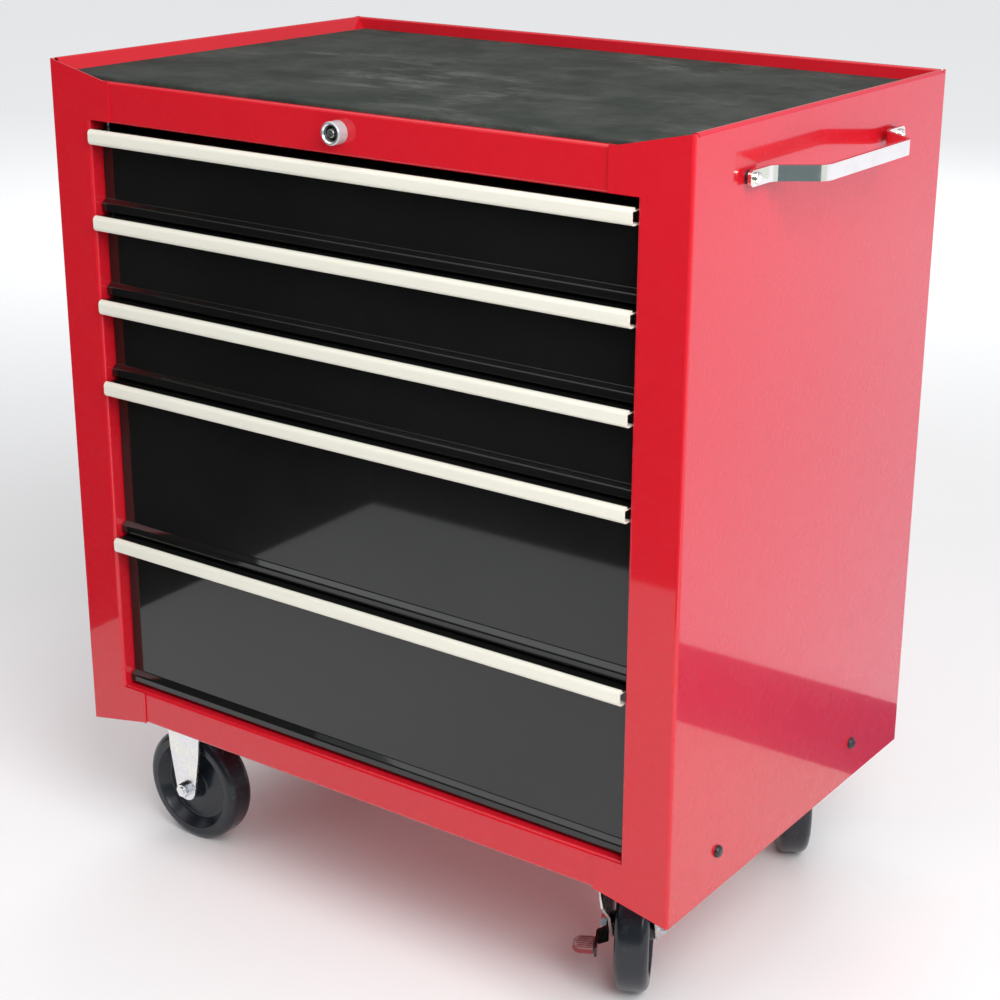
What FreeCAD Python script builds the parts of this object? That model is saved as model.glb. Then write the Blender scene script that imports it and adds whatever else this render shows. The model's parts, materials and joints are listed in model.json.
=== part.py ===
"""Five-drawer roller tool cabinet, in millimetres: +Z up, the front faces -Y, the floor is Z = 0.

Everything is drawn about the middle of the cabinet shell. keep() then moves it, so that the
origin is at the centre of the bottom of the whole cart's box, side handle and lock included.
Each node is written to parts/NODE.step.
"""

import FreeCAD, Part
import math
import os

Vector = FreeCAD.Vector

# ---- cabinet shell -------------------------------------------------------------------------
WIDTH = 680.0
DEPTH = 438.0
SHELL_BOTTOM = 138.5
SHELL_TOP = 799.5
SHEET = 1.2
BEND = 1.8                      # inner bend radius of the side panels
HALF_WIDTH = WIDTH / 2
FRONT = -DEPTH / 2
BACK = DEPTH / 2
INSIDE_FRONT = FRONT + SHEET
INSIDE_BACK = BACK - SHEET
OPENING_X = 292.4               # half width of the drawer opening
OPENING_BOTTOM = 186.1
OPENING_TOP = 746.8
JAMB_DEPTH = 18.0
TAB_X = 265.5                   # the posts' tabs reach in to here
SLOPE_X = 270.0                 # and their sloped edges end here
SEAM = 0.05                     # gap where one sheet laps another
RAIL_X = 292.2
RAIL_FACE = FRONT + SHEET + SEAM
RAIL_TOP = 784.0
RAIL_BEND = 2.0
RAIL_FLANGE = 11.0              # depth of the flange that the tray's floor meets
RAIL_BOTTOM = 152.4
SIDE_REAR_FLANGE = 18.0
SIDE_FLANGE_TOP = 774.0
HEM_WIDTH = 5.0
HEM_BEND = 2.0
HEM_CREST = HEM_BEND + SHEET    # outer radius of the hems' fold
HEM_FOOT_X = 327.5              # the hems slope down inward to here
HEM_FOOT_Z = 787.2
BACK_RIBS_Z = (330.0, 600.0)

# ---- top tray and mat ----------------------------------------------------------------------
TRAY_BEND = 0.8
TRAY_FLOOR = 782.8
TRAY_HALF_WIDTH = 338.2
TRAY_REAR_WALL = 214.0
MAT_THICKNESS = 4.2
MAT_HALF_WIDTH = 326.5
MAT_FRONT = -213.5
MAT_EDGE = 2.0                  # radius along the mat's upper edges
MAT_BACK = 212.0

# ---- base pan ------------------------------------------------------------------------------
PAN_BOTTOM = 158.5
PAN_FLANGE_TOP = 192.0
PAN_HALF_WIDTH = 338.6
BASE_SCREW_Z = 176.5
BASE_SCREW_Y = (-138.8, 113.1)
BASE_SCREW_HEAD = 4.0
BASE_SCREW_RADIUS = 5.5
BASE_SCREW_HOLE = 2.6

# ---- drawers -------------------------------------------------------------------------------
SHALLOW = 79.1                  # pitch of a shallow drawer, and half that of a deep one
DRAWER_PITCHES = (SHALLOW, SHALLOW, SHALLOW, 2 * SHALLOW, 2 * SHALLOW)
FIRST_PULL_TOP = 739.9
FACE_X = 291.0                  # half width of the drawer fronts
FACE_Y = -205.0
FACE_SHEET = 1.0
BEAD_OUT = 5.5
BEAD_HEIGHT = 12.0
BEAD_SLOPE = 4.0
FRONT_GAP = 2.0                 # from one drawer front's foot down to the next pull's top
LEDGE_DROP = 0.4                # from the pull's top down to the ledge behind its lip
LEDGE_FRONT = -218.9
LEDGE_REAR = -193.0
PULL_X = 290.3
PULL_FRONT = -223.5
PULL_LIP = -219.0
PULL_REAR = -212.8
PULL_HEIGHT = 14.0
PULL_WALL = 1.6
PULL_BEND = 2.4
BOX_X = 277.5
BOX_REAR = 192.0
BOX_SHEET = 1.0
RIM_DROP = 6.0                  # from the front's ledge down to the box's rim
BOX_LIFT = 3.0                  # from the front's foot up to the box's floor
RIM_ROLL = 3.5                  # how far the box's side rims roll outward, and then down
ROLL_DEPTH = 6.0
CATCH_DROP = 16.0               # from the box's rim down to the top of its lock catch

# ---- telescoping slides --------------------------------------------------------------------
SLIDE_FRONT = -197.0
SLIDE_LENGTH = 388.0
SLIDE_RISE = 24.0               # slide centre above the box's floor
UPRIGHT_X = 290.5
UPRIGHT_OUTER_X = 337.3
UPRIGHTS_Y = ((-198.0, -160.0), (165.0, 203.0))

# ---- lock ----------------------------------------------------------------------------------
LOCK_X = 1.5
LOCK_Z = 766.5
LOCK_PROUD = 10.0
LOCK_HEAD_RADIUS = 9.9
LOCK_BARREL_RADIUS = 8.5
LOCK_CORE_RADIUS = 6.95
LOCK_BORE_RADIUS = 7.0
LOCK_BOSS_RADIUS = 3.8
LOCK_CHAMFER = 1.2
CAM_THROW = 10.0                # also the lock bar's travel
CAM_PIN_RADIUS = 2.0
LOCK_BAR_Y = 203.0

# ---- side handle ---------------------------------------------------------------------------
HANDLE_Z = 756.5
HANDLE_HEIGHT = 12.7
HANDLE_THICKNESS = 3.0
HANDLE_BEND = 13.0
HANDLE_REACH = 42.0
HANDLE_STANDOFF = 4.5
HANDLE_BOLTS_Y = (-138.0, 114.0)
HANDLE_HOLE = 3.2
HANDLE_END = 4.5                # corner radius of the strip's ends

# ---- casters -------------------------------------------------------------------------------
WHEEL_RADIUS = 59.5
WHEEL_HALF_WIDTH = 15.5
HUB_HALF_WIDTH = 19.2
AXLE_RADIUS = 4.0
BORE_RADIUS = 4.06
KINGPIN_RADIUS = 6.0
KINGPIN_BORE = 6.06
CASTER_X = 264.0
CASTER_Y = {-1: -149.0, 1: 158.0}
SWIVEL_TRAIL = 36.0
SWIVEL_ANGLES = {-1: 118.0, 1: 124.0}   # headings of the trailing wheels, degrees from +X
FORK_SHEET = 2.5
FORK_HALF_WIDTH = 22.0
PEDAL_BASE = 52.3               # height of the brake pedal's underside
PEDAL_THICKNESS = 5.4
PLATE_BOTTOM = PAN_BOTTOM - FORK_SHEET
PLATE_X = 100.0
PLATE_Y = 80.0
BOLT_X = 40.0
BOLT_Y = 30.0

TYRE_CORNER = 8.5
TYRE_FLAT = WHEEL_HALF_WIDTH - TYRE_CORNER


def rear_wheel_reach():
    """How far back the rear swivel wheel's tyre reaches."""
    heading = math.radians(SWIVEL_ANGLES[1])
    reach = SWIVEL_TRAIL + WHEEL_RADIUS - TYRE_CORNER
    tyre = reach * math.sin(heading) + TYRE_FLAT * abs(math.cos(heading))
    return CASTER_Y[1] + tyre + TYRE_CORNER


# ---- placing of the origin -----------------------------------------------------------------
X_MIN = -HALF_WIDTH - BASE_SCREW_HEAD
X_MAX = HALF_WIDTH + HANDLE_REACH
Y_MIN = FRONT - LOCK_PROUD
Y_MAX = rear_wheel_reach()
TO_ORIGIN = Vector(-(X_MIN + X_MAX) / 2, -(Y_MIN + Y_MAX) / 2, 0)

os.makedirs("parts", exist_ok=True)


def keep(name, *solids):
    """Writes the solids as one node."""
    group = Part.makeCompound([s for shape in solids for s in shape.Solids])
    group.translate(TO_ORIGIN)
    group.exportStep("parts/" + name + ".step")


# ---- drawing helpers -----------------------------------------------------------------------
def in_xz(y):
    """Puts a drawing point (x, z) on the plane Y = y."""
    return lambda u, v: Vector(u, y, v)


def in_yz(x):
    """Puts a drawing point (y, z) on the plane X = x."""
    return lambda u, v: Vector(x, u, v)


def in_xy(z):
    """Puts a drawing point (x, y) on the plane Z = z."""
    return lambda u, v: Vector(u, v, z)


def block(x0, x1, y0, y1, z0, z1):
    return Part.makeBox(x1 - x0, y1 - y0, z1 - z0, Vector(x0, y0, z0))


def rod(radius, start, end):
    """A cylinder between two points."""
    along = end - start
    return Part.makeCylinder(radius, along.Length, start, along)


def rounded_face(points, radii, place):
    """A flat face round the points, with each corner rounded by its own radius."""
    count = len(points)
    corners = []
    for i, (x, y) in enumerate(points):
        before = Vector(points[i - 1][0] - x, points[i - 1][1] - y, 0)
        after = Vector(points[(i + 1) % count][0] - x, points[(i + 1) % count][1] - y, 0)
        before.normalize()
        after.normalize()
        here = Vector(x, y, 0)
        if radii[i] == 0:
            corners.append((here, None, here))
            continue
        half_angle = before.getAngle(after) / 2
        setback = radii[i] / math.tan(half_angle)
        inward = before + after
        inward.normalize()
        middle = here + inward * (radii[i] / math.sin(half_angle) - radii[i])
        corners.append((here + before * setback, middle, here + after * setback))
    edges = []
    for i, (start, middle, end) in enumerate(corners):
        if middle is not None:
            arc = Part.Arc(place(start.x, start.y), place(middle.x, middle.y), place(end.x, end.y))
            edges.append(arc.toShape())
        following = corners[(i + 1) % count][0]
        if (following - end).Length > 1e-6:
            edges.append(Part.LineSegment(place(end.x, end.y), place(following.x, following.y)).toShape())
    return Part.Face(Part.Wire(edges))


def rounded_prism(points, radii, place, run):
    return rounded_face(points, radii, place).extrude(run)


def bent_sheet(path, thickness, bend, place, run):
    """A folded sheet: the path is one skin, the metal lies to the left of it, and bend is the
    radius inside each fold. The outline is pushed along run."""
    normals = []
    for (x0, y0), (x1, y1) in zip(path, path[1:]):
        length = math.hypot(x1 - x0, y1 - y0)
        normals.append((-(y1 - y0) / length, (x1 - x0) / length))
    other = []
    radii = []
    other_radii = []
    for i, (x, y) in enumerate(path):
        first = normals[max(i - 1, 0)]
        second = normals[min(i, len(normals) - 1)]
        scale = thickness / (1 + first[0] * second[0] + first[1] * second[1])
        other.append((x + (first[0] + second[0]) * scale, y + (first[1] + second[1]) * scale))
        turn = first[0] * second[1] - first[1] * second[0]
        radii.append(0 if turn == 0 else bend + thickness * (turn > 0))
        other_radii.append(0 if turn == 0 else bend + thickness * (turn < 0))
    points = path + other[::-1]
    return rounded_prism(points, radii + other_radii[::-1], place, run)


def mirrored(shape):
    """The same piece on the other side of the cabinet."""
    return shape.mirror(Vector(0, 0, 0), Vector(1, 0, 0))


def hexagon_nut(across_flats, height, bore, base, along):
    """A hexagonal prism with a round hole, or a solid one if bore is 0."""
    along = Vector(along)
    along.normalize()
    side = along.cross(Vector(0, 0, 1)) if abs(along.z) < 0.9 else Vector(1, 0, 0)
    side.normalize()
    up = along.cross(side)
    reach = across_flats / math.sqrt(3)
    turns = [math.radians(60 * k) for k in range(6)]
    ring = [base + side * (reach * math.cos(t)) + up * (reach * math.sin(t)) for t in turns]
    prism = Part.Face(Part.makePolygon(ring + ring[:1])).extrude(along * height)
    dome = Part.makeSphere(across_flats * 0.72, base + along * (height - across_flats * 0.47))
    prism = prism.common(dome.fuse(rod(across_flats, base, base + along * (height * 0.4))))
    if bore:
        prism = prism.cut(rod(bore, base - along, base + along * (height + 1)))
    return prism


def tangent_point(point, centre, radius, side):
    """Where a line from the point touches a circle. side is +1 for counter-clockwise, -1 for clockwise."""
    dx = point[0] - centre[0]
    dy = point[1] - centre[1]
    angle = math.atan2(dy, dx) + side * math.acos(radius / math.hypot(dx, dy))
    return centre[0] + radius * math.cos(angle), centre[1] + radius * math.sin(angle)


def tear_drop(chain, centre, radius, place, run):
    """A plate that narrows to a round end: the chain's points run clockwise round the wide end, and
    straight sides run from its two ends to the circle."""
    start = tangent_point(chain[-1], centre, radius, -1)
    end = tangent_point(chain[0], centre, radius, 1)
    angle_start = math.atan2(start[1] - centre[1], start[0] - centre[0])
    angle_end = math.atan2(end[1] - centre[1], end[0] - centre[0])
    if angle_end > angle_start:
        angle_end -= 2 * math.pi
    half_way = (angle_start + angle_end) / 2
    middle = (centre[0] + radius * math.cos(half_way), centre[1] + radius * math.sin(half_way))
    points = [end] + list(chain) + [start]
    edges = [Part.LineSegment(place(*a), place(*b)).toShape() for a, b in zip(points, points[1:])]
    edges.append(Part.Arc(place(*start), place(*middle), place(*end)).toShape())
    return Part.Face(Part.Wire(edges)).extrude(run)


# ---- cabinet shell -------------------------------------------------------------------------
def side_panel():
    """The right side panel: side, front post, jamb, rear flange, sloped tabs and the top hem."""
    lap_bottom = OPENING_BOTTOM - SHEET - SEAM
    lap_top = OPENING_TOP + SHEET + SEAM
    rear = [(HALF_WIDTH, BACK), (HALF_WIDTH - SIDE_REAR_FLANGE, BACK)]
    post = [(OPENING_X, FRONT + JAMB_DEPTH), (OPENING_X, FRONT), (HALF_WIDTH, FRONT)] + rear
    tab = [(TAB_X, FRONT), (HALF_WIDTH, FRONT)] + rear
    panel = bent_sheet(post, SHEET, BEND, in_xy(lap_bottom), Vector(0, 0, lap_top - lap_bottom))
    for z0, z1 in ((SHELL_BOTTOM, lap_bottom), (lap_top, SHELL_TOP)):
        panel = panel.fuse(bent_sheet(tab, SHEET, BEND, in_xy(z0), Vector(0, 0, z1 - z0)))
    corner = FRONT + SHEET + BEND
    for edge, rail, beyond in ((SHELL_TOP, RAIL_TOP, 1), (SHELL_BOTTOM, RAIL_BOTTOM, -1)):
        slope = [(HALF_WIDTH, edge), (SLOPE_X, rail), (TAB_X - 1, rail)]
        slope += [(TAB_X - 1, edge + beyond), (HALF_WIDTH, edge + beyond)]
        panel = panel.cut(rounded_prism(slope, [0] * 5, in_xz(FRONT - 1), Vector(0, corner - FRONT + 1, 0)))
    inner = HALF_WIDTH - SHEET - BEND
    panel = panel.cut(block(OPENING_X, inner, INSIDE_BACK - 1, BACK + 1, SIDE_FLANGE_TOP, SHELL_TOP + 1))
    hem_front = FRONT + 6
    crest_x = HALF_WIDTH - HEM_CREST
    crest_z = SHELL_TOP - HEM_CREST
    crest = block(crest_x, HALF_WIDTH + 1, FRONT - 1, hem_front, crest_z, SHELL_TOP + 1)
    kept = rod(HEM_CREST, Vector(crest_x, FRONT - 1, crest_z), Vector(crest_x, hem_front, crest_z))
    panel = panel.cut(crest.cut(kept))
    hem_back = TRAY_REAR_WALL - SHEET - 0.1
    web_top = SHELL_TOP - 3.5
    panel = panel.cut(block(inner, HALF_WIDTH + 1, hem_front - 1, hem_back + 1, web_top, SHELL_TOP + 1))
    hem = [
        (HALF_WIDTH, web_top),
        (HALF_WIDTH, SHELL_TOP),
        (HALF_WIDTH - HEM_WIDTH, SHELL_TOP),
        (HEM_FOOT_X, HEM_FOOT_Z),
    ]
    run = Vector(0, hem_back - hem_front, 0)
    panel = panel.fuse(bent_sheet(hem, SHEET, HEM_BEND, in_xz(hem_front), run))
    for y in BASE_SCREW_Y:
        panel = panel.cut(hole_through_side(y, BASE_SCREW_Z, BASE_SCREW_HOLE))
    return panel.removeSplitter()


def hole_through_side(y, z, radius):
    return rod(radius, Vector(HALF_WIDTH - 5, y, z), Vector(HALF_WIDTH + 5, y, z))


def handle_holes():
    return [hole_through_side(y, HANDLE_Z, HANDLE_HOLE) for y in HANDLE_BOLTS_Y]


def front_rail(folds, lock_hole):
    """A rail that laps behind the posts' tabs."""
    rail = bent_sheet(folds, SHEET, RAIL_BEND, in_yz(-RAIL_X), Vector(2 * RAIL_X, 0, 0))
    if lock_hole:
        rail = rail.cut(rod(LOCK_BARREL_RADIUS + 0.2, lock_point(FRONT - 5), lock_point(FRONT + 5)))
    return rail


def front_top_rail():
    folds = [
        (RAIL_FACE + RAIL_FLANGE, RAIL_TOP),
        (RAIL_FACE, RAIL_TOP),
        (RAIL_FACE, OPENING_TOP),
        (RAIL_FACE + 14, OPENING_TOP),
    ]
    return front_rail(folds, True)


def front_bottom_rail():
    folds = [
        (RAIL_FACE + 15, OPENING_BOTTOM),
        (RAIL_FACE, OPENING_BOTTOM),
        (RAIL_FACE, RAIL_BOTTOM),
        (RAIL_FACE + 12, RAIL_BOTTOM),
    ]
    return front_rail(folds, False)


def back_panel():
    """A flat sheet inside the rear flanges, with two shallow ribs pressed outward to stiffen it."""
    sheet = block(-336, 336, INSIDE_BACK - SHEET, INSIDE_BACK, 141, TRAY_FLOOR - 1)
    for z in BACK_RIBS_Z:
        sheet = sheet.fuse(back_rib(INSIDE_BACK, z, 290))
        sheet = sheet.cut(back_rib(INSIDE_BACK - SHEET, z, 288))
    return sheet.removeSplitter()


def back_rib(y, z, half_length):
    """A low ridge with sloped sides, standing out from the plane Y = y."""
    section = [(y, z - 9), (y + SHEET, z - 6), (y + SHEET, z + 6), (y, z + 9)]
    return rounded_prism(section, [0] * 4, in_yz(-half_length), Vector(2 * half_length, 0, 0))


def top_tray():
    """The recessed top: floor, two side walls under the side panels' hems, and a hemmed rear rim."""
    wall_top = SHELL_TOP - 3.0
    trough = [
        (-TRAY_HALF_WIDTH, wall_top),
        (-TRAY_HALF_WIDTH, TRAY_FLOOR),
        (TRAY_HALF_WIDTH, TRAY_FLOOR),
        (TRAY_HALF_WIDTH, wall_top),
    ]
    tray = bent_sheet(trough, SHEET, TRAY_BEND, in_xz(FRONT + 5), Vector(0, TRAY_REAR_WALL - FRONT - 5, 0))
    rim = [
        (TRAY_REAR_WALL - 15, TRAY_FLOOR),
        (TRAY_REAR_WALL, TRAY_FLOOR),
        (TRAY_REAR_WALL, SHELL_TOP - SHEET),
        (INSIDE_BACK, SHELL_TOP - SHEET),
        (INSIDE_BACK, SIDE_FLANGE_TOP + 1),
    ]
    half = HALF_WIDTH - HEM_WIDTH - 0.2
    rear = bent_sheet(rim, SHEET, TRAY_BEND, in_yz(-half), Vector(2 * half, 0, 0))
    notch_x = RAIL_X + 0.1
    notch_y = RAIL_FACE + RAIL_FLANGE + 0.1
    notch = block(-notch_x, notch_x, FRONT, notch_y, TRAY_FLOOR - 1, TRAY_FLOOR + SHEET + 1)
    return tray.fuse(rear).cut(notch).removeSplitter()


def top_mat():
    floor = TRAY_FLOOR + SHEET
    mat = block(-MAT_HALF_WIDTH, MAT_HALF_WIDTH, MAT_FRONT, MAT_BACK, floor, floor + MAT_THICKNESS)
    top_edges = [e for e in mat.Edges if min(v.Z for v in e.Vertexes) > floor + 1]
    return mat.makeFillet(MAT_EDGE, top_edges)


def base_pan():
    """The floor of the cabinet, flanged up at both sides, with holes for the caster bolts."""
    folds = [
        (-PAN_HALF_WIDTH, PAN_FLANGE_TOP),
        (-PAN_HALF_WIDTH, PAN_BOTTOM),
        (PAN_HALF_WIDTH, PAN_BOTTOM),
        (PAN_HALF_WIDTH, PAN_FLANGE_TOP),
    ]
    pan = bent_sheet(folds, SHEET, 1.5, in_xz(-216), Vector(0, 432.4, 0))
    for x, y in caster_bolt_places():
        pan = pan.cut(rod(4.2, Vector(x, y, PAN_BOTTOM - 1), Vector(x, y, PAN_BOTTOM + 5)))
    for y in BASE_SCREW_Y:
        pan = pan.cut(rod(2.6, Vector(-HALF_WIDTH, y, BASE_SCREW_Z), Vector(HALF_WIDTH, y, BASE_SCREW_Z)))
    return pan


def base_screws():
    """Four round-headed self-tapping screws through the side panels into the pan's flanges."""
    screws = []
    for y in BASE_SCREW_Y:
        seat = Vector(HALF_WIDTH, y, BASE_SCREW_Z)
        head = rod(BASE_SCREW_RADIUS, seat, seat + Vector(BASE_SCREW_HEAD, 0, 0))
        outer_edges = [e for e in head.Edges if e.BoundBox.XMin > HALF_WIDTH + 1]
        head = head.makeFillet(BASE_SCREW_HEAD - 0.8, outer_edges)
        shank = rod(2.5, seat - Vector(10, 0, 0), seat + Vector(0.5, 0, 0))
        screw = head.fuse(shank)
        screws += [screw, mirrored(screw)]
    return screws


def slide_uprights():
    """Four folded channels that carry the outer slides."""
    uprights = []
    for y0, y1 in UPRIGHTS_Y:
        folds = [(UPRIGHT_OUTER_X, y1), (UPRIGHT_X, y1), (UPRIGHT_X, y0), (UPRIGHT_OUTER_X, y0)]
        height = TRAY_FLOOR - PAN_BOTTOM - SHEET - 2.3
        upright = bent_sheet(folds, SHEET, 1.5, in_xy(PAN_BOTTOM + SHEET + 2), Vector(0, 0, height))
        uprights += [upright, mirrored(upright)]
    return uprights


# ---- slides --------------------------------------------------------------------------------
def channel(web_x, lip_x, half_height, centre_z):
    """A pair of slide members: a C section from web to lips, one each side of the cabinet."""
    folds = [
        (lip_x, centre_z + half_height),
        (web_x, centre_z + half_height),
        (web_x, centre_z - half_height),
        (lip_x, centre_z - half_height),
    ]
    if lip_x < web_x:
        folds = folds[::-1]
    member = bent_sheet(folds, SHEET, 0.8, in_xz(SLIDE_FRONT), Vector(0, SLIDE_LENGTH, 0))
    return [member, mirrored(member)]


def outer_slides(centres):
    members = []
    for centre_z in centres:
        members += channel(UPRIGHT_X, 281.5, 17.5, centre_z)
    return members


def middle_slides(centre_z):
    return channel(283.6, 288.3, 13.9, centre_z)


def inner_slides(centre_z):
    return channel(BOX_X, 282.4, 10.5, centre_z)


# ---- drawers -------------------------------------------------------------------------------
def drawer_levels():
    """For each drawer: its pull's top, its ledge, its front's foot, its box's floor and rim."""
    levels = []
    pull_top = FIRST_PULL_TOP
    for pitch in DRAWER_PITCHES:
        ledge = pull_top - LEDGE_DROP
        foot = pull_top - pitch + FRONT_GAP
        levels.append((pull_top, ledge, foot, foot + BOX_LIFT, ledge - RIM_DROP))
        pull_top -= pitch
    return levels


def drawer_box(floor, rim):
    """An open tray of welded sheets: floor, front, back with the lock's catch, sides with rolled rims."""
    front = FACE_Y + FACE_SHEET
    inner = BOX_X - BOX_SHEET
    half = inner - SEAM
    front_inner = front + BOX_SHEET
    back_inner = BOX_REAR - BOX_SHEET
    bottom = block(-half, half, front_inner + SEAM, back_inner - SEAM, floor, floor + BOX_SHEET)
    front_wall = block(-half, half, front, front_inner, floor, rim)
    back_wall = block(-half, half, back_inner, BOX_REAR, floor, rim).fuse(lock_catch(rim))
    rolled = BOX_X + RIM_ROLL + BOX_SHEET
    folds = [(rolled, rim - ROLL_DEPTH), (rolled, rim), (inner, rim), (inner, floor)]
    side = bent_sheet(folds, BOX_SHEET, 0.5, in_xz(front), Vector(0, BOX_REAR - front, 0))
    return [bottom, front_wall, back_wall.removeSplitter(), side, mirrored(side)]


def lock_catch(rim):
    """The hooked tab behind a drawer that the lock bar's hook drops in front of."""
    lip_top = rim - CATCH_DROP
    folds = [(BOX_REAR - 0.5, lip_top - 10), (BOX_REAR + 7.5, lip_top - 10), (BOX_REAR + 7.5, lip_top)]
    return bent_sheet(folds, SHEET, 0.5, in_yz(LOCK_X - 5), Vector(30, 0, 0))


def drawer_front(ledge, foot):
    """The black front: a face with its ledge above, and a bead pressed outward along its foot."""
    cap = [(LEDGE_REAR, ledge - 8), (LEDGE_REAR, ledge), (LEDGE_FRONT, ledge)]
    front = bent_sheet(cap, FACE_SHEET, 0.8, in_yz(-BOX_X + 2), Vector(2 * BOX_X - 4, 0, 0))
    front = front.fuse(block(-FACE_X, FACE_X, LEDGE_FRONT, UPRIGHTS_Y[0][0] - 1, ledge - FACE_SHEET, ledge))
    face = [
        (FACE_Y, ledge - FACE_SHEET / 2),
        (FACE_Y, foot + BEAD_HEIGHT),
        (FACE_Y - BEAD_OUT, foot + BEAD_HEIGHT - BEAD_SLOPE),
        (FACE_Y - BEAD_OUT, foot),
        (FACE_Y + 7, foot),
    ]
    front = front.fuse(bent_sheet(face, FACE_SHEET, 1.2, in_yz(-FACE_X), Vector(2 * FACE_X, 0, 0)))
    for x in (-FACE_X, FACE_X - FACE_SHEET):
        edge_top = ledge - FACE_SHEET / 2
        edge = block(x, x + FACE_SHEET, FACE_Y + FACE_SHEET / 2, FACE_Y + 6, foot + BEAD_HEIGHT, edge_top)
        front = front.fuse(edge)
    return front.removeSplitter()


def drawer_pull(top):
    """A full-width aluminium C section, rounded over at the top, with a jaw that the ledge rests on."""
    folds = [
        (PULL_LIP, top),
        (PULL_FRONT, top),
        (PULL_FRONT, top - PULL_HEIGHT),
        (PULL_REAR - 0.7, top - PULL_HEIGHT),
    ]
    pull = bent_sheet(folds, PULL_WALL, PULL_BEND, in_yz(-PULL_X), Vector(2 * PULL_X, 0, 0))
    jaw_top = top - LEDGE_DROP - FACE_SHEET
    jaw = block(-PULL_X, PULL_X, PULL_FRONT + PULL_WALL / 2, PULL_REAR, jaw_top - PULL_WALL, jaw_top)
    return pull.fuse(jaw).removeSplitter()


# ---- lock ----------------------------------------------------------------------------------
def lock_point(y, dx=0.0, dz=0.0):
    return Vector(LOCK_X + dx, y, LOCK_Z + dz)


def lock_housing():
    face_y = FRONT - LOCK_PROUD
    head = rod(LOCK_HEAD_RADIUS, lock_point(face_y), lock_point(RAIL_FACE))
    head = head.makeFillet(1.4, [e for e in head.Edges if e.BoundBox.YMax < face_y + 0.1])
    barrel = rod(LOCK_BARREL_RADIUS, lock_point(FRONT - 1), lock_point(FRONT + 19))
    lock = head.fuse(barrel).cut(rod(LOCK_BORE_RADIUS, lock_point(face_y - 1), lock_point(FRONT + 20)))
    wide = LOCK_BORE_RADIUS + LOCK_CHAMFER
    mouth = Part.makeCone(wide, LOCK_BORE_RADIUS, LOCK_CHAMFER, lock_point(face_y), Vector(0, 1, 0))
    return lock.cut(mouth)


def lock_nut():
    return hexagon_nut(24, 4, LOCK_BARREL_RADIUS + 0.02, lock_point(RAIL_FACE + SHEET), Vector(0, 1, 0))


def lock_cylinder():
    """The turning core with a keyed boss in its sunken face, and a thinner tail that carries the cam."""
    boss_y = FRONT - LOCK_PROUD + 0.9
    face_y = boss_y + 2.6
    core = rod(LOCK_CORE_RADIUS, lock_point(face_y), lock_point(FRONT + 19))
    boss = rod(LOCK_BOSS_RADIUS, lock_point(boss_y), lock_point(face_y + 1))
    boss = boss.makeFillet(1.0, [e for e in boss.Edges if e.BoundBox.YMax < boss_y + 0.1])
    core = core.fuse(boss).fuse(rod(4.0, lock_point(FRONT + 18), lock_point(FRONT + 23.5)))
    slot = block(LOCK_X - 0.7, LOCK_X + 0.7, boss_y - 1, boss_y + 8, LOCK_Z - 2.6, LOCK_Z + 2.6)
    return core.cut(slot)


def lock_cam():
    """An arm with an eccentric pin. Unlocked, the pin is level with the core, to its right."""
    start = FRONT + 19.5
    thickness = 2.5
    centre = (LOCK_X, LOCK_Z)
    pin = (LOCK_X + CAM_THROW, LOCK_Z)
    place = in_xz(start)
    run = Vector(0, thickness, 0)
    arm = tear_drop([(pin[0], pin[1] + 4.5), (pin[0], pin[1] - 4.5)], centre, 7.5, place, run)
    arm = arm.fuse(rod(4.5, lock_point(start, CAM_THROW), lock_point(start + thickness, CAM_THROW)))
    arm = arm.cut(rod(4.0, lock_point(start - 1), lock_point(start + thickness + 1)))
    return arm.fuse(rod(CAM_PIN_RADIUS, lock_point(start + 1, CAM_THROW), lock_point(start + 9, CAM_THROW)))


def lock_bar(rims):
    """One L-shaped bar: a slotted tab round the cam's pin, an arm to the back, and a hooked upright."""
    right = LOCK_X + 20
    strip = 2.0
    tab_y = FRONT + 25
    bar = block(LOCK_X - 8, right, tab_y, tab_y + strip, LOCK_Z - 9, LOCK_Z + 9)
    slot = [(-3.4, -4.4), (13.4, -4.4), (13.4, 4.4), (-3.4, 4.4)]
    slot = [(LOCK_X + x, LOCK_Z + z) for x, z in slot]
    bar = bar.cut(rounded_prism(slot, [3.0] * 4, in_xz(tab_y - 1), Vector(0, strip + 2, 0)))
    rear = LOCK_BAR_Y + strip
    bar = bar.fuse(block(right - strip, right, tab_y, rear, LOCK_Z - 9, LOCK_Z + 5))
    hook_tops = [rim - CATCH_DROP + 15.5 for rim in rims]
    bar = bar.fuse(block(LOCK_X, right, LOCK_BAR_Y, rear, min(hook_tops) - 40, LOCK_Z + 5))
    for top in hook_tops:
        folds = [(LOCK_BAR_Y + 0.5, top), (BOX_REAR + 2.3, top), (BOX_REAR + 2.3, top - 13.5)]
        bar = bar.fuse(bent_sheet(folds, 2.5, 0.5, in_yz(LOCK_X), Vector(20, 0, 0)))
    return bar.removeSplitter()


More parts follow.
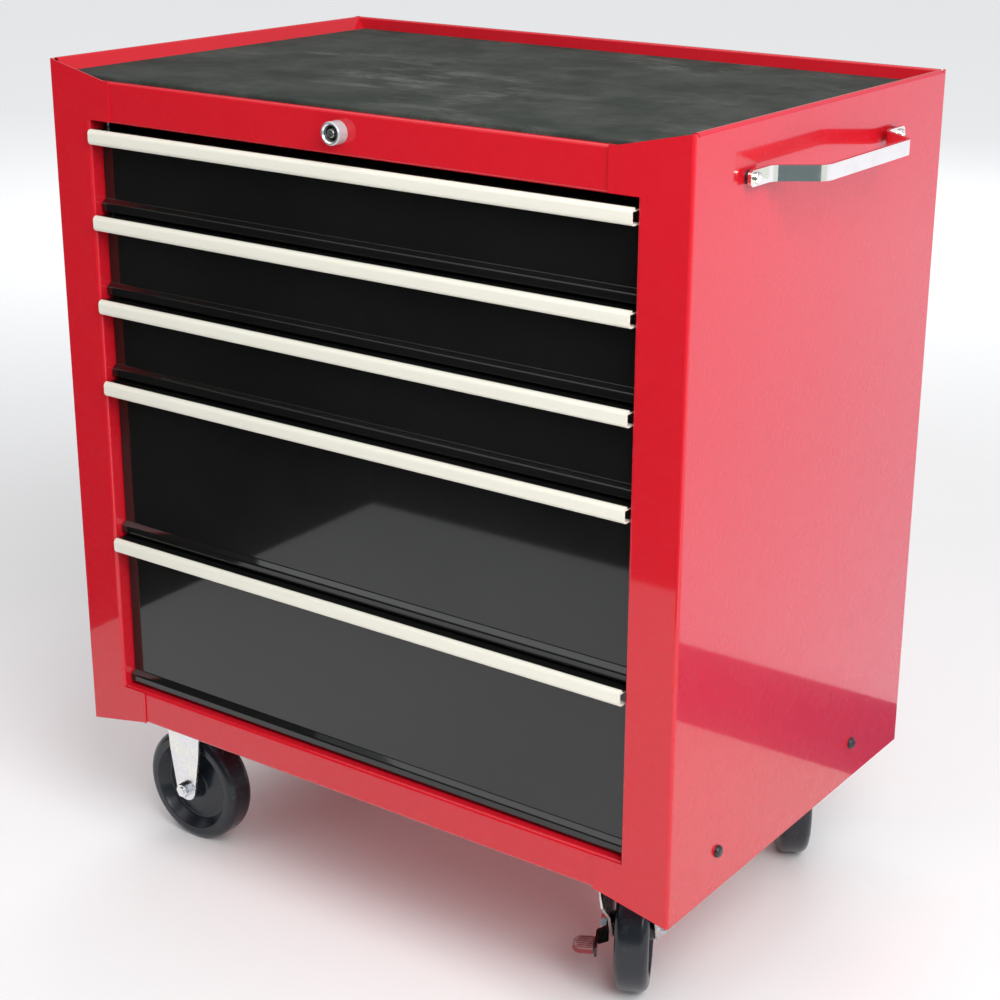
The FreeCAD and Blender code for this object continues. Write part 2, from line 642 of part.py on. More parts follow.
# ---- side handle ---------------------------------------------------------------------------
def side_handle():
    """A flat strip, bent outward twice, with its ends lying parallel to the side panel."""
    inner = HALF_WIDTH + HANDLE_STANDOFF
    outer = HALF_WIDTH + HANDLE_REACH - HANDLE_THICKNESS
    path = [(inner, -147.0), (inner, -112.0), (outer, -86.0), (outer, 61.0), (inner, 88.0), (inner, 123.0)]
    low = HANDLE_Z - HANDLE_HEIGHT / 2
    strip = bent_sheet(path[::-1], HANDLE_THICKNESS, HANDLE_BEND, in_xy(low), Vector(0, 0, HANDLE_HEIGHT))
    across = [e for e in strip.Edges if abs(e.BoundBox.XLength - HANDLE_THICKNESS) < 0.1]
    corners = [e for e in across if max(e.BoundBox.YLength, e.BoundBox.ZLength) < 0.01]
    strip = strip.makeFillet(HANDLE_END, corners)
    for y in HANDLE_BOLTS_Y:
        strip = strip.cut(rod(HANDLE_HOLE, Vector(inner - 1, y, HANDLE_Z), Vector(inner + 5, y, HANDLE_Z)))
    return strip


def handle_spacers():
    rings = []
    for y in HANDLE_BOLTS_Y:
        start = Vector(HALF_WIDTH, y, HANDLE_Z)
        end = start + Vector(HANDLE_STANDOFF, 0, 0)
        rings.append(rod(5.8, start, end).cut(rod(HANDLE_HOLE, start, end)))
    return rings


def handle_screws():
    """Two pan-head screws through the handle, each with its nut inside the side panel."""
    pieces = []
    for y in HANDLE_BOLTS_Y:
        seat = Vector(HALF_WIDTH + HANDLE_STANDOFF + HANDLE_THICKNESS, y, HANDLE_Z)
        head = rod(4.8, seat, seat + Vector(2.8, 0, 0))
        head = head.makeFillet(1.6, [e for e in head.Edges if e.BoundBox.XMin > seat.x + 2])
        head = head.cut(hexagon_nut(4, 3, 0, seat + Vector(1.2, 0, 0), Vector(1, 0, 0)))
        inside = Vector(HALF_WIDTH - SHEET, y, HANDLE_Z)
        pieces.append(head.fuse(rod(3.0, inside - Vector(8, 0, 0), seat)))
        pieces.append(hexagon_nut(10, 5, 3.05, inside, Vector(-1, 0, 0)))
    return pieces


# ---- casters -------------------------------------------------------------------------------
def caster_centres():
    return [(side * CASTER_X, CASTER_Y[end]) for side in (-1, 1) for end in (-1, 1)]


def caster_bolt_places():
    corners = [(i * BOLT_X, j * BOLT_Y) for i in (-1, 1) for j in (-1, 1)]
    return [(cx + x, cy + y) for cx, cy in caster_centres() for x, y in corners]


def caster_bolts():
    """Sixteen bolts from below through plate and pan, each with its nut on top."""
    pieces = []
    for x, y in caster_bolt_places():
        seat = Vector(x, y, PLATE_BOTTOM)
        head = hexagon_nut(13, 5.3, 0, seat, Vector(0, 0, -1))
        pieces.append(head.fuse(rod(4.0, seat, seat + Vector(0, 0, 14))))
        pieces.append(hexagon_nut(13, 6.5, 4.05, Vector(x, y, PAN_BOTTOM + SHEET), Vector(0, 0, 1)))
    return pieces


def caster_plate():
    """A caster's top plate, centred on its own origin, with four bolt holes."""
    half_x = PLATE_X / 2
    half_y = PLATE_Y / 2
    corners = [(-half_x, -half_y), (half_x, -half_y), (half_x, half_y), (-half_x, half_y)]
    plate = rounded_prism(corners, [8.0] * 4, in_xy(PLATE_BOTTOM), Vector(0, 0, FORK_SHEET))
    for x in (-BOLT_X, BOLT_X):
        for y in (-BOLT_Y, BOLT_Y):
            plate = plate.cut(rod(4.2, Vector(x, y, PLATE_BOTTOM - 1), Vector(x, y, PAN_BOTTOM + 1)))
    return plate


def axle_hole(trail):
    return rod(BORE_RADIUS, Vector(trail, -60, WHEEL_RADIUS), Vector(trail, 60, WHEEL_RADIUS))


def rigid_fork():
    """A rigid caster's fork on its own origin: top plate and two legs, the wheel rolling along X."""
    legs = [
        (-FORK_HALF_WIDTH, 40),
        (-FORK_HALF_WIDTH, PAN_BOTTOM),
        (FORK_HALF_WIDTH, PAN_BOTTOM),
        (FORK_HALF_WIDTH, 40),
    ]
    fork = bent_sheet(legs[::-1], FORK_SHEET, 3.0, in_yz(-40), Vector(80, 0, 0))
    left = [(-19.5, 100), (-23.0, 140), (-30.0, PLATE_BOTTOM), (-30.0, 170)]
    outline = left + [(-x, z) for x, z in left[::-1]]
    fork = fork.common(tear_drop(outline, (0, WHEEL_RADIUS), 12.5, in_xz(-50), Vector(0, 100, 0)))
    fork = fork.fuse(caster_plate())
    return fork.cut(axle_hole(0)).removeSplitter()


def swivel_plate():
    """A swivel caster's top plate with the upper bearing race and the riveted kingpin."""
    race = Part.makeCone(23.0, 27.0, 7.0, Vector(0, 0, PLATE_BOTTOM - 7), Vector(0, 0, 1))
    plate = caster_plate().fuse(race)
    plate = plate.fuse(rod(KINGPIN_RADIUS, Vector(0, 0, 131), Vector(0, 0, PLATE_BOTTOM)))
    return plate.fuse(rod(9.5, Vector(0, 0, 131), Vector(0, 0, 134))).removeSplitter()


def swivel_fork():
    """A swivel fork on the kingpin's axis, the wheel trailing along +X: shouldered crown and two legs."""
    crown_top = 148.5
    legs = [
        (-FORK_HALF_WIDTH, 40),
        (-FORK_HALF_WIDTH, 90),
        (-30, 122),
        (-30, crown_top),
        (30, crown_top),
        (30, 122),
        (FORK_HALF_WIDTH, 90),
        (FORK_HALF_WIDTH, 40),
    ]
    fork = bent_sheet(legs[::-1], FORK_SHEET, 4.0, in_yz(-40), Vector(110, 0, 0))
    outline = [(-31, 118), (-31, 160), (31, 160), (38, 118)]
    legs = tear_drop(outline, (SWIVEL_TRAIL, WHEEL_RADIUS), 13.0, in_xz(-50), Vector(0, 100, 0))
    fork = fork.common(legs)
    square = [(-31, -31), (31, -31), (31, 31), (-31, 31)]
    plan = rounded_prism(square, [20.0] * 4, in_xy(30), Vector(0, 0, 130))
    plan = plan.fuse(block(0, 60, -25, 25, 30, 130))
    fork = fork.common(plan)
    fork = fork.fuse(rod(15.0, Vector(0, 0, 134.4), Vector(0, 0, crown_top - 1)))
    fork = fork.cut(rod(KINGPIN_BORE, Vector(0, 0, 120), Vector(0, 0, 150)))
    return fork.cut(axle_hole(SWIVEL_TRAIL)).removeSplitter()


def axle(trail, head_at, nut_at):
    """An axle bolt along Y with its head outside one leg and a nut outside the other."""
    sign = 1 if head_at > 0 else -1
    centre = Vector(trail, 0, WHEEL_RADIUS)
    head = hexagon_nut(13, 5.5, 0, centre + Vector(0, head_at, 0), Vector(0, sign, 0))
    nut_seat = centre + Vector(0, nut_at, 0)
    bolt = head.fuse(rod(AXLE_RADIUS, centre + Vector(0, head_at, 0), nut_seat - Vector(0, sign * 8, 0)))
    return [bolt, hexagon_nut(13, 6.5, AXLE_RADIUS + 0.02, nut_seat, Vector(0, -sign, 0))]


def wheel():
    """A wheel about its own origin, its axle along Y: hub, deep dished web and a round-shouldered tyre."""
    half = [
        (HUB_HALF_WIDTH, BORE_RADIUS, 0),
        (HUB_HALF_WIDTH, 11.5, 1.0),
        (7.0, 14.5, 2.0),
        (5.0, 38.5, 3.0),
        (13.0, 44.6, 1.0),
        (WHEEL_HALF_WIDTH, 46.4, 1.2),
        (WHEEL_HALF_WIDTH, WHEEL_RADIUS, TYRE_CORNER),
    ]
    points = [(y, r) for y, r, corner in half] + [(-y, r) for y, r, corner in half[::-1]]
    radii = [corner for y, r, corner in half] + [corner for y, r, corner in half[::-1]]
    return rounded_face(points, radii, in_yz(0)).revolve(Vector(0, 0, 0), Vector(0, 1, 0), 360)


def brake_lever():
    """A strap on the axle outside the fork: it bends outward and carries the pedal's tongue."""
    path = [(-7.0, 31.0), (14.0, 31.0), (19.5, 22.6), (47.0, 22.6)]
    strap = bent_sheet(path, FORK_SHEET, 1.5, in_xy(40), Vector(0, 0, 40))
    chain = [(-7.0, PEDAL_BASE - 2.5), (-7.0, PEDAL_BASE + 7.0)]
    strap = strap.common(tear_drop(chain, (SWIVEL_TRAIL, WHEEL_RADIUS), 9.5, in_xz(0), Vector(0, 60, 0)))
    strap = strap.fuse(pedal_tongue())
    return strap.cut(axle_hole(SWIVEL_TRAIL)).removeSplitter()


def pedal_tongue():
    return block(-4, 12, 32, 47, PEDAL_BASE + 1.8, PEDAL_BASE + 3.8)


def brake_pedal():
    """The ribbed cap pushed over the lever's tongue, rounded at its outer end."""
    outline = [(-8.0, 33.8), (15.5, 33.8), (15.5, 53.5), (-8.0, 53.5)]
    pad = rounded_prism(outline, [1.0, 1.0, 8.0, 8.0], in_xy(PEDAL_BASE), Vector(0, 0, PEDAL_THICKNESS))
    level = [e for e in pad.Edges if e.BoundBox.ZLength < 0.01]
    pad = pad.makeFillet(1.6, [e for e in level if e.BoundBox.YMax > 34.5])
    for k in range(6):
        x = -4.9 + 3.45 * k
        y_end = 50.5 - 0.9 * abs(k - 2.5)
        z = PEDAL_BASE + PEDAL_THICKNESS
        pad = pad.fuse(block(x - 0.7, x + 0.7, 35.5, y_end, z - 0.7, z + 0.8))
    return pad.cut(pedal_tongue())


def on_swivel(shape, end):
    """Turns a piece drawn on a kingpin's axis to its heading, at the front (-1) or the rear (+1)."""
    placed = shape.copy()
    placed.rotate(Vector(0, 0, 0), Vector(0, 0, 1), SWIVEL_ANGLES[end])
    placed.translate(Vector(CASTER_X, CASTER_Y[end], 0))
    return placed


# ---- write every node ----------------------------------------------------------------------
right_side = side_panel()
keep("side_panel_left", mirrored(right_side))
for hole in handle_holes():
    right_side = right_side.cut(hole)
keep("side_panel_right", right_side)
keep("back_panel", back_panel())
keep("top_tray", top_tray())
keep("top_mat", top_mat())
keep("front_top_rail", front_top_rail())
keep("front_bottom_rail", front_bottom_rail())
keep("base_pan", base_pan())
keep("base_screws", *base_screws())
keep("slide_uprights", *slide_uprights())

drawers = drawer_levels()
keep("outer_slides", *outer_slides([floor + SLIDE_RISE for _, _, _, floor, _ in drawers]))
for number, (pull_top, ledge, foot, floor, rim) in enumerate(drawers, 1):
    keep("drawer_box_%d" % number, *drawer_box(floor, rim))
    keep("drawer_front_%d" % number, drawer_front(ledge, foot))
    keep("drawer_pull_%d" % number, drawer_pull(pull_top))
    keep("slide_inner_%d" % number, *inner_slides(floor + SLIDE_RISE))
    keep("slide_middle_%d" % number, *middle_slides(floor + SLIDE_RISE))

keep("lock_housing", lock_housing())
keep("lock_nut", lock_nut())
keep("lock_cylinder", lock_cylinder())
keep("lock_cam", lock_cam())
keep("lock_bar", lock_bar([rim for _, _, _, _, rim in drawers]))

keep("side_handle", side_handle())
keep("handle_spacers", *handle_spacers())
keep("handle_screws", *handle_screws())

keep("caster_bolts", *caster_bolts())
left_casters = [Vector(-CASTER_X, CASTER_Y[end], 0) for end in (-1, 1)]
keep("rigid_forks", *[rigid_fork().translated(place) for place in left_casters])
rigid_axle = axle(0, FORK_HALF_WIDTH, -FORK_HALF_WIDTH)
keep("rigid_axles", *[piece.translated(place) for place in left_casters for piece in rigid_axle])
right_casters = [Vector(CASTER_X, CASTER_Y[end], 0) for end in (-1, 1)]
keep("swivel_plates", *[swivel_plate().translated(place) for place in right_casters])
for end, name in ((-1, "front"), (1, "rear")):
    rolling = wheel().translated(Vector(0, 0, WHEEL_RADIUS))
    keep("wheel_%s_left" % name, rolling.translated(Vector(-CASTER_X, CASTER_Y[end], 0)))
    keep("wheel_%s_right" % name, on_swivel(rolling.translated(Vector(SWIVEL_TRAIL, 0, 0)), end))
    keep("swivel_fork_%s" % name, on_swivel(swivel_fork(), end))
    lever_outside = FORK_HALF_WIDTH + 0.6 + FORK_SHEET + 0.3
    pieces = axle(SWIVEL_TRAIL, lever_outside, -FORK_HALF_WIDTH)
    keep("swivel_axle_%s" % name, *[on_swivel(piece, end) for piece in pieces])
    keep("brake_lever_%s" % name, on_swivel(brake_lever(), end))
    keep("brake_pedal_%s" % name, on_swivel(brake_pedal(), end))
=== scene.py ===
"""A five-drawer roller tool cabinet: finishes, fine detail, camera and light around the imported
CAD model. Metres, +Z up, the drawers face -Y."""

import json
import math

import bpy
from mathutils import Matrix, Vector

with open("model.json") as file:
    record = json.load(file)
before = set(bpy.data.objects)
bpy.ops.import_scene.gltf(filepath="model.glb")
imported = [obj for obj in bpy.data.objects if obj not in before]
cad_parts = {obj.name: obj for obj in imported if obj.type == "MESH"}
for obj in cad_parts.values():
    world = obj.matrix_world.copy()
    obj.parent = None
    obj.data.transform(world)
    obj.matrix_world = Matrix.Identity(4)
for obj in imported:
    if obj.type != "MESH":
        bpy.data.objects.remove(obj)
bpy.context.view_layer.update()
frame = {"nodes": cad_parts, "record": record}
nodes = frame["nodes"]


# ---- camera --------------------------------------------------------------------------------
CAMERA_PLACE = (1.04677, -1.46887, 1.03759)
CAMERA_YAW = 35.2705
CAMERA_PITCH = -19.3109
CAMERA_ROLL = 0.4191
CAMERA_LENS = 71.55
CAMERA_SHIFT = (-0.0193, -0.0208)


def add_camera():
    """Aims the camera by turning it in yaw, then pitch, then roll."""
    data = bpy.data.cameras.new("camera")
    data.sensor_width = 36.0
    data.lens = CAMERA_LENS
    data.shift_x, data.shift_y = CAMERA_SHIFT
    camera = bpy.data.objects.new("camera", data)
    bpy.context.scene.collection.objects.link(camera)
    turns = ((CAMERA_YAW, "Z"), (90 + CAMERA_PITCH, "X"), (CAMERA_ROLL, "Z"))
    matrix = Matrix.Translation(CAMERA_PLACE)
    for degrees, axis in turns:
        matrix = matrix @ Matrix.Rotation(math.radians(degrees), 4, axis)
    camera.matrix_world = matrix
    bpy.context.scene.camera = camera


# ---- material helpers ----------------------------------------------------------------------
class Recipe:
    """A node material with one Principled shader, and short calls for the nodes that feed it."""

    def __init__(self, name, **constants):
        self.material = bpy.data.materials.new(name)
        self.material.use_nodes = True
        self.tree = self.material.node_tree
        self.shader = self.tree.nodes["Principled BSDF"]
        for socket, value in constants.items():
            self.shader.inputs[socket.replace("_", " ")].default_value = value
        self.place = self.tree.nodes.new("ShaderNodeTexCoord").outputs["Object"]

    def node(self, kind, inputs=None, **settings):
        made = self.tree.nodes.new(kind)
        for key, value in settings.items():
            setattr(made, key, value)
        for key, value in (inputs or {}).items():
            if isinstance(value, bpy.types.NodeSocket):
                self.tree.links.new(value, made.inputs[key])
            else:
                made.inputs[key].default_value = value
        return made

    def stretched(self, scale, turn=(0, 0, 0)):
        inputs = {"Vector": self.place, "Scale": scale, "Rotation": turn}
        return self.node("ShaderNodeMapping", inputs).outputs["Vector"]

    def noise(self, scale, detail=2.0, roughness=0.5, vector=None):
        inputs = {"Vector": vector or self.place, "Scale": scale}
        inputs.update({"Detail": detail, "Roughness": roughness})
        return self.node("ShaderNodeTexNoise", inputs).outputs["Fac"]

    def cells(self, scale):
        inputs = {"Vector": self.place, "Scale": scale}
        return self.node("ShaderNodeTexVoronoi", inputs).outputs["Distance"]

    def remap(self, value, low, high, to_low=0.0, to_high=1.0):
        """Eases from to_low to to_high as value goes from low to high."""
        inputs = {"Value": value, "From Min": low, "From Max": high}
        inputs.update({"To Min": to_low, "To Max": to_high})
        made = self.node("ShaderNodeMapRange", inputs, interpolation_type="SMOOTHSTEP")
        return made.outputs["Result"]

    def maths(self, operation, first, second):
        return self.node("ShaderNodeMath", {0: first, 1: second}, operation=operation).outputs["Value"]

    def vector_maths(self, operation, *operands):
        return self.node("ShaderNodeVectorMath", dict(enumerate(operands)), operation=operation)

    def mix(self, factor, first, second):
        """Mixes two colours; the colour sockets of a Mix node are its seventh and eighth."""
        inputs = {0: factor, 6: first, 7: second}
        return self.node("ShaderNodeMix", inputs, data_type="RGBA").outputs[2]

    def bump(self, height, distance, below=None):
        inputs = {"Height": height, "Distance": distance, "Strength": 1.0}
        if below:
            inputs["Normal"] = below
        return self.node("ShaderNodeBump", inputs).outputs["Normal"]

    def feed(self, **sockets):
        for socket, value in sockets.items():
            self.tree.links.new(value, self.shader.inputs[socket.replace("_", " ")])
        return self.material


def rgb(red, green, blue):
    return (red, green, blue, 1.0)


# ---- materials -----------------------------------------------------------------------------
def enamel(name, deep, bright, roughness):
    """Sprayed gloss enamel: an even colour with faint clouding, orange peel and a few dust nibs."""
    coat = {"Coat_Weight": 1.0, "Coat_Roughness": 0.04, "Coat_IOR": 1.5}
    recipe = Recipe(name, IOR=1.5, Specular_IOR_Level=0.1, **coat)
    clouds = recipe.noise(6.0, 3.0)
    colour = recipe.mix(recipe.remap(clouds, 0.3, 0.7), deep, bright)
    haze = recipe.noise(35.0, 4.0, 0.6)
    peel = recipe.bump(recipe.noise(420.0, 1.0), 0.0000025)
    waves = recipe.bump(recipe.noise(5.0, 1.0), 0.00004, below=peel)
    nibs = recipe.remap(recipe.cells(110.0), 0.035, 0.0)
    grain = recipe.bump(nibs, 0.00003, below=waves)
    rough = recipe.remap(haze, 0.3, 0.7, roughness - 0.03, roughness + 0.05)
    return recipe.feed(Base_Color=colour, Roughness=rough, Normal=grain, Coat_Normal=grain)


def red_paint():
    return enamel("red_enamel", rgb(0.555, 0.008, 0.018), rgb(0.565, 0.0085, 0.019), 0.26)


def black_paint():
    return enamel("black_enamel", rgb(0.006, 0.0065, 0.006), rgb(0.008, 0.0085, 0.008), 0.2)


def brushed(name, base, grain_scale, metallic, roughness, depth=0.00002):
    """Metal with a fine grain along one axis and slow changes of sheen."""
    recipe = Recipe(name, Metallic=metallic)
    lines = recipe.noise(1.0, 3.0, 0.65, recipe.stretched(grain_scale))
    blotches = recipe.noise(14.0, 4.0, 0.6)
    dark = tuple(c * 0.90 for c in base[:3]) + (1.0,)
    half = {0: lines, 1: 0.5, 2: 0.25}
    tone = recipe.node("ShaderNodeMath", half, operation="MULTIPLY_ADD").outputs["Value"]
    colour = recipe.mix(tone, dark, base)
    sheen = recipe.maths("ADD", recipe.remap(lines, 0.25, 0.75, -0.06, 0.06), blotches)
    rough = recipe.remap(sheen, 0.25, 0.8, roughness - 0.07, roughness + 0.09)
    return recipe.feed(Base_Color=colour, Roughness=rough, Normal=recipe.bump(lines, depth))


def pull_metal():
    return brushed("satin_aluminium", rgb(0.85, 0.83, 0.72), (6, 900, 900), 0.12, 0.38)


def slide_steel():
    return brushed("slide_zinc", rgb(0.66, 0.67, 0.69), (500, 5, 500), 1.0, 0.34)


def zinc():
    """Bright zinc plate: a pale mirror-like metal with soft spangle and a faint warm and cool tint."""
    recipe = Recipe("zinc_plate", Metallic=1.0)
    tint = recipe.remap(recipe.noise(45.0, 2.0), 0.35, 0.65)
    colour = recipe.mix(tint, rgb(0.80, 0.81, 0.85), rgb(0.86, 0.85, 0.80))
    spangle = recipe.cells(160.0)
    rough = recipe.remap(spangle, 0.0, 0.9, 0.17, 0.30)
    fine = recipe.bump(recipe.noise(900.0, 2.0), 0.00002)
    return recipe.feed(Base_Color=colour, Roughness=rough, Normal=fine)


def chrome():
    """Polished chrome with hairline scratches and the odd finger mark."""
    recipe = Recipe("chrome", Metallic=1.0)
    hairs = recipe.noise(1.0, 2.0, 0.7, recipe.stretched((900, 120, 1400), (0.4, 0.2, 0.9)))
    smears = recipe.remap(recipe.noise(40.0, 4.0, 0.6), 0.5, 0.75)
    colour = recipe.mix(smears, rgb(0.86, 0.89, 0.80), rgb(0.78, 0.81, 0.74))
    rough = recipe.remap(smears, 0.0, 1.0, 0.10, 0.19)
    return recipe.feed(Base_Color=colour, Roughness=rough, Normal=recipe.bump(hairs, 0.000006))


# The lock's colours by radius: painted shade on the sunken face, a painted highlight on the boss, and
# a grey, barely metallic side as a painted reflection.
LOCK_AXIS = (-0.0175, 0.0, 0.7665)
LOCK_BOSS = (0.0042, 0.0036)        # radii between which the dark face turns to the boss
LOCK_RIM = (0.0066, 0.0072)         # and to the rim
LOCK_SIDE = (0.0088, 0.0096)        # and the rim to the head's side


def lock_nickel():
    """Bright nickel: a pale rim; a duller grey, barely metallic side that paints in the reflection of
    bright surroundings; painted shade darkening the sunken face, and a painted highlight making the
    boss at the keyhole grey.
    """
    recipe = Recipe("bright_nickel")
    offset = recipe.vector_maths("SUBTRACT", recipe.place, LOCK_AXIS).outputs["Vector"]
    flat = recipe.vector_maths("MULTIPLY", offset, (1, 0, 1)).outputs["Vector"]
    radius = recipe.vector_maths("LENGTH", flat).outputs["Value"]
    turned = recipe.noise(1.0, 2.0, 0.6, recipe.stretched((60, 1500, 60)))
    pale = recipe.mix(turned, rgb(0.74, 0.75, 0.76), rgb(0.86, 0.87, 0.88))
    # Painted shade: the sunken face is dark. Painted highlight: the boss at its centre is grey.
    boss = recipe.remap(radius, *LOCK_BOSS)
    face = recipe.mix(boss, rgb(0.05, 0.05, 0.05), rgb(0.45, 0.46, 0.44))
    front = recipe.mix(recipe.remap(radius, *LOCK_RIM), face, pale)
    # Painted reflection: the side is grey and barely metallic in place of a mirror reflection of
    # bright surroundings.
    colour = recipe.mix(recipe.remap(radius, *LOCK_SIDE), front, rgb(0.50, 0.52, 0.54))
    rough = recipe.remap(turned, 0.3, 0.7, 0.16, 0.26)
    metal = recipe.remap(radius, *LOCK_SIDE, 0.85, 0.3)
    fine = recipe.bump(turned, 0.00001)
    return recipe.feed(Base_Color=colour, Metallic=metal, Roughness=rough, Normal=fine)


def mat_rubber():
    """Dark grey ribbed mat, mottled, with faint dusty patches where things have been put down."""
    recipe = Recipe("mat_rubber", IOR=1.45, Specular_IOR_Level=0.1)
    mottle = recipe.noise(13.0, 8.0, 0.75)
    shade = recipe.remap(mottle, 0.32, 0.68)
    base = recipe.mix(shade, rgb(0.028, 0.033, 0.029), rgb(0.058, 0.062, 0.056))
    streaks = recipe.noise(1.0, 8.0, 0.75, recipe.stretched((14, 30, 20), (0, 0, 0.2)))
    patches = recipe.noise(6.0, 2.0)
    streaky = recipe.remap(streaks, 0.47, 0.72)
    dusty = recipe.maths("MULTIPLY", streaky, recipe.remap(patches, 0.42, 0.62))
    colour = recipe.mix(dusty, base, rgb(0.115, 0.118, 0.106))
    spacing = {"Vector": recipe.place, "Scale": 55.0}
    ribs = recipe.node("ShaderNodeTexWave", spacing, bands_direction="X")
    height = recipe.maths("ADD", ribs.outputs["Fac"], recipe.noise(700.0, 3.0))
    return recipe.feed(
        Base_Color=colour,
        Roughness=recipe.remap(mottle, 0.3, 0.7, 0.72, 0.9),
        Normal=recipe.bump(height, 0.00006),
    )


def wheel_rubber():
    """Moulded black wheel, slightly worn to grey where it rolls; both tones carry a blue tint that
    paints in a bluish sheen.
    """
    recipe = Recipe("wheel_black", IOR=1.5)
    scuffs = recipe.remap(recipe.noise(60.0, 6.0, 0.7), 0.52, 0.78)
    # The lighter tone is wear; the blue tint of both tones is a painted bluish sheen.
    colour = recipe.mix(scuffs, rgb(0.012, 0.016, 0.022), rgb(0.022, 0.028, 0.036))
    rough = recipe.remap(scuffs, 0.0, 1.0, 0.24, 0.38)
    fine = recipe.bump(recipe.noise(240.0, 2.0), 0.00003)
    return recipe.feed(Base_Color=colour, Roughness=rough, Normal=fine)


def pedal_plastic():
    """Dark red ribbed plastic, its upward-facing side lightened to a pinkish grey: partly scuffs from
    shoes, partly a painted sheen from the light above.
    """
    recipe = Recipe("pedal_red", IOR=1.48)
    scuffs = recipe.remap(recipe.noise(150.0, 5.0, 0.6), 0.35, 0.65)
    normal = recipe.node("ShaderNodeNewGeometry").outputs["Normal"]
    up = recipe.node("ShaderNodeSeparateXYZ", {"Vector": normal}).outputs["Z"]
    worn = recipe.remap(scuffs, 0.0, 1.0, 0.45, 0.9)
    # Painted sheen mixed with wear: faces that point up are lightened, broken up by the scuff noise.
    top_sheen_and_wear = recipe.maths("MULTIPLY", recipe.remap(up, 0.55, 0.98), worn)
    colour = recipe.mix(top_sheen_and_wear, rgb(0.20, 0.014, 0.022), rgb(0.42, 0.30, 0.30))
    rough = recipe.remap(scuffs, 0.0, 1.0, 0.32, 0.48)
    fine = recipe.bump(recipe.noise(650.0, 2.0), 0.00003)
    return recipe.feed(Base_Color=colour, Roughness=rough, Normal=fine)


def plug_plastic():
    """Black plastic caps of the base screws, faintly clouded."""
    recipe = Recipe("plug_black", IOR=1.5)
    cloud = recipe.noise(300.0, 3.0)
    colour = recipe.mix(cloud, rgb(0.012, 0.013, 0.016), rgb(0.028, 0.030, 0.034))
    rough = recipe.remap(cloud, 0.3, 0.7, 0.25, 0.4)
    return recipe.feed(Base_Color=colour, Roughness=rough, Normal=recipe.bump(cloud, 0.00003))


def floor_paint():
    """Pale floor that emits more light the further it is from the cart: painted light standing in for
    a lit studio sweep.
    """
    recipe = Recipe("studio_floor", Roughness=0.9, Emission_Color=rgb(1.0, 1.0, 1.0))
    colour = recipe.mix(recipe.noise(3.0, 4.0), rgb(0.85, 0.85, 0.85), rgb(0.88, 0.88, 0.88))
    distance = recipe.vector_maths("LENGTH", recipe.place).outputs["Value"]
    # Painted light: emission that grows from nothing near the cart to 0.42 far away.
    painted_far_light = recipe.remap(distance, 0.9, 3.5, 0.0, 0.42)
    return recipe.feed(Base_Color=colour, Emission_Strength=painted_far_light)


MATERIALS = {
    "red_paint": red_paint(),
    "black_paint": black_paint(),
    "pull_metal": pull_metal(),
    "mat": mat_rubber(),
    "slide_steel": slide_steel(),
    "zinc": zinc(),
    "chrome": chrome(),
    "lock_nickel": lock_nickel(),
    "plug": plug_plastic(),
    "wheel": wheel_rubber(),
    "pedal": pedal_plastic(),
}


def dress_cad_nodes():
    """Gives every CAD node its slot's material."""
    for part in frame["record"]["subparts"]:
        mesh = nodes[part["node"]].data
        mesh.materials.clear()
        mesh.materials.append(MATERIALS[part["material_slot"]])


# ---- studio --------------------------------------------------------------------------------
FLOOR_REACH = 20.0
FLAG_HEIGHT = 1.1
FLAG_FRONT_Y = -1.15
FLAG_SPLIT_X = 0.1                  # where the front's dark flag ends and the right one starts
SHADE_BAND_HEIGHT = 0.1
BLUE_GREY = rgb(0.16, 0.20, 0.22)
NEAR_BLACK = rgb(0.005, 0.005, 0.005)
# Dark strip at the foot of the wall lamp: a painted shade band in the right side's reflection, for the
# shadow at the base of the bright wall.
SHADE_BAND_TONE = rgb(0.10, 0.16, 0.32)


def area_light(name, place, target, width, height, watts, colour=(1, 1, 1)):
    """A rectangular lamp that the camera doesn't see."""
    data = bpy.data.lights.new(name, "AREA")
    data.shape = "RECTANGLE"
    data.size = width
    data.size_y = height
    data.energy = watts
    data.color = colour
    lamp = bpy.data.objects.new(name, data)
    bpy.context.scene.collection.objects.link(lamp)
    lamp.location = place
    lamp.rotation_euler = (Vector(target) - Vector(place)).to_track_quat("-Z", "Y").to_euler()
    lamp.visible_camera = False
    return lamp


def quad(name, corners, material):
    mesh = bpy.data.meshes.new(name)
    mesh.from_pydata(corners, [], [(0, 1, 2, 3)])
    mesh.materials.append(material)
    piece = bpy.data.objects.new(name, mesh)
    bpy.context.scene.collection.objects.link(piece)
    return piece


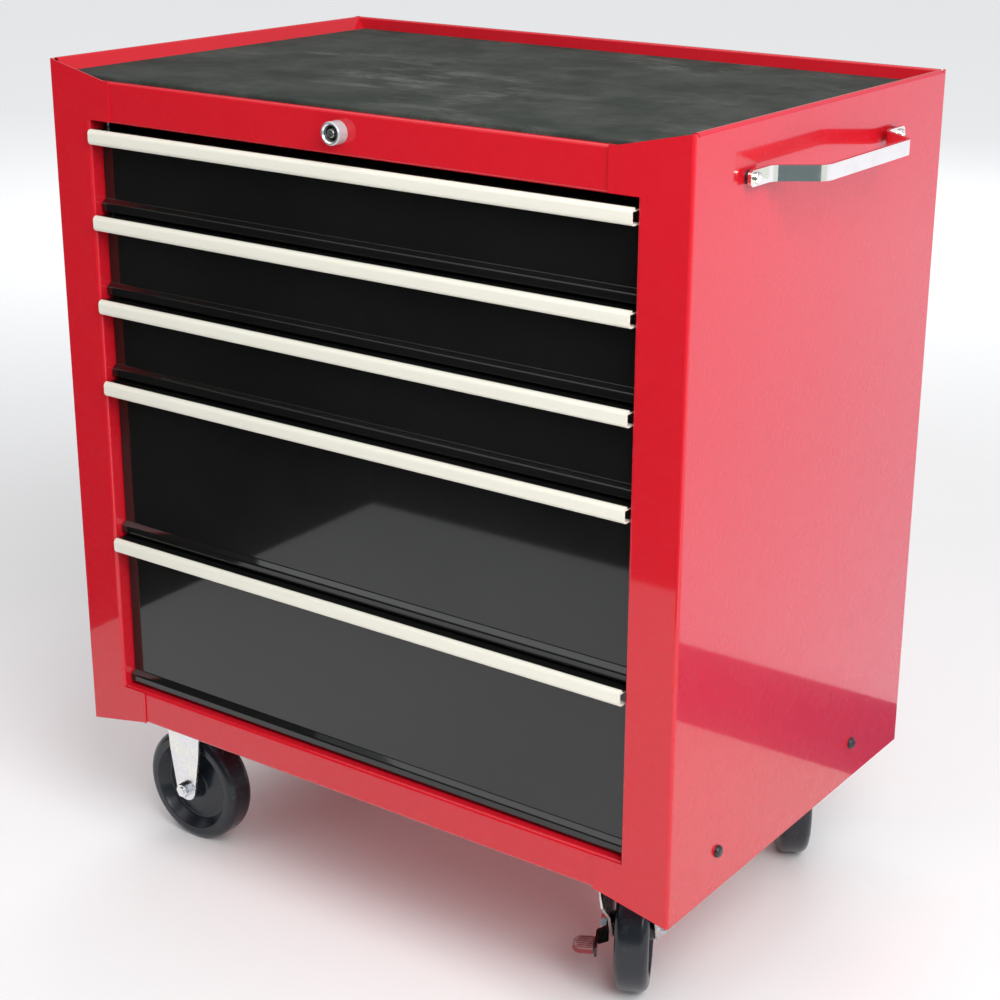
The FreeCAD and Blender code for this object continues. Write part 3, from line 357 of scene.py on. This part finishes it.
def grey_card(name, start, end, height, tone):
    """An upright studio flag from start to end on the floor: it shows only in reflections."""
    foot = [(*start, 0), (*end, 0)]
    top = [(*end, height), (*start, height)]
    recipe = Recipe("card_" + name, Roughness=1.0, Specular_IOR_Level=0.0)
    darker = tuple(0.9 * c for c in tone[:3]) + (1.0,)
    clouded = recipe.mix(recipe.noise(2.0), darker, tone)
    card = quad(name, foot + top, recipe.feed(Base_Color=clouded))
    card.visible_camera = False
    card.visible_diffuse = False
    card.visible_shadow = False


def add_studio():
    """Floor, flags, lamps and an even sky."""
    near, far = -FLOOR_REACH, FLOOR_REACH
    quad("floor", [(near, near, 0), (far, near, 0), (far, far, 0), (near, far, 0)], floor_paint())
    left_end = (-0.78, FLAG_FRONT_Y)
    split = (FLAG_SPLIT_X, FLAG_FRONT_Y)
    grey_card("flag_front", left_end, split, FLAG_HEIGHT, NEAR_BLACK)
    grey_card("flag_right", split, (2.6, FLAG_FRONT_Y), FLAG_HEIGHT, BLUE_GREY)
    grey_card("flag_left", (-0.76, -0.3), left_end, FLAG_HEIGHT, NEAR_BLACK)
    # Painted shade: a dark strip low behind the cart, seen only in the right side's reflection as the
    # shadow at the wall's base.
    grey_card("flag_foot", (0.33, 0.36), (3.2, 0.36), SHADE_BAND_HEIGHT, SHADE_BAND_TONE)
    magenta = (1.0, 0.7, 1.4)
    wall = area_light("wall_bounce", (1.73, 0.42, 1.06), (1.73, -1.0, 1.06), 2.75, 2.0, 3.5, magenta)
    wall.visible_diffuse = False
    area_light("overhead", (-0.3, -0.4, 2.9), (0, 0, 0), 2.6, 2.6, 25)
    area_light("right_key", (1.8, -1.1, 2.0), (0.2, 0, 0.5), 1.6, 1.6, 66)
    area_light("front_fill", (-1.2, -3.4, 2.0), (0, 0, 0.4), 2.4, 2.0, 8)
    rear = area_light("rear_fill", (-1.6, 3.0, 2.2), (0, 0, 0.4), 2.2, 1.8, 30)
    rear.visible_glossy = False
    world = bpy.data.worlds.new("studio_air")
    world.use_nodes = True
    sky = world.node_tree.nodes["Background"]
    sky.inputs["Color"].default_value = rgb(0.95, 0.97, 1.0)
    sky.inputs["Strength"].default_value = 0.42
    bpy.context.scene.world = world
    bpy.context.scene.view_settings.view_transform = "Standard"


add_camera()
dress_cad_nodes()
add_studio()
